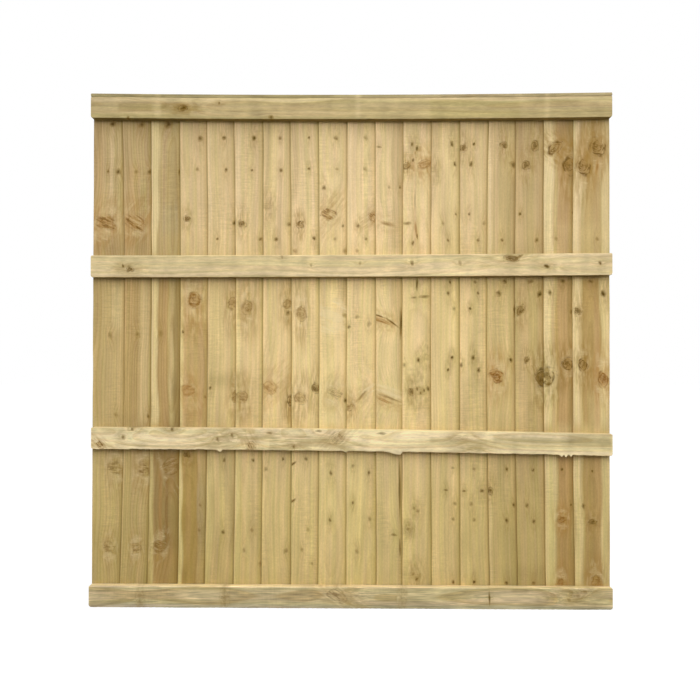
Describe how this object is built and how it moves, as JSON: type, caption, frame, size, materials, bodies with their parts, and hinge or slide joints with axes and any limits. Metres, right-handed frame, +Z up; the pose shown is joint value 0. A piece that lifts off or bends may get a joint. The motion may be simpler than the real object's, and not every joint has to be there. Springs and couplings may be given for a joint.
{
  "type": "closeboard fence panel",
  "caption": "Upright fence panel of tapered, lapped softwood boards nailed to horizontal rails under a thin capping strip, hung between posts by its rail ends.",
  "frame": {"origin": "middle of the panel's underside, below the middle of the capping strip", "axes": "+X along the rails to the right as seen from the rail side, +Y from the rail side to the board side, +Z up the boards"},
  "size_m": [1.83, 0.06, 1.806],
  "materials": {
    "boards": "sawn, pressure treated, dry",
    "rails": "sawn, pressure treated, dry",
    "cap": "sawn, pressure treated, weathered",
    "nails": "galvanised, dull"
  },
  "bodies": {
    "root": {"feather_board_01": "boards", "feather_board_02": "boards", "feather_board_03": "boards", "feather_board_04": "boards", "feather_board_05": "boards", "feather_board_06": "boards", "feather_board_07": "boards", "feather_board_08": "boards", "feather_board_09": "boards", "feather_board_10": "boards", "feather_board_11": "boards", "feather_board_12": "boards", "feather_board_13": "boards", "feather_board_14": "boards", "feather_board_15": "boards", "feather_board_16": "boards", "feather_board_17": "boards", "feather_board_18": "boards", "top_rail": "rails", "upper_mid_rail": "rails", "lower_mid_rail": "rails", "bottom_rail": "rails", "capping_strip": "cap", "top_rail_nails": "nails", "upper_mid_rail_nails": "nails", "lower_mid_rail_nails": "nails", "bottom_rail_nails": "nails", "cap_nails": "nails"}
  },
  "joints": []
}
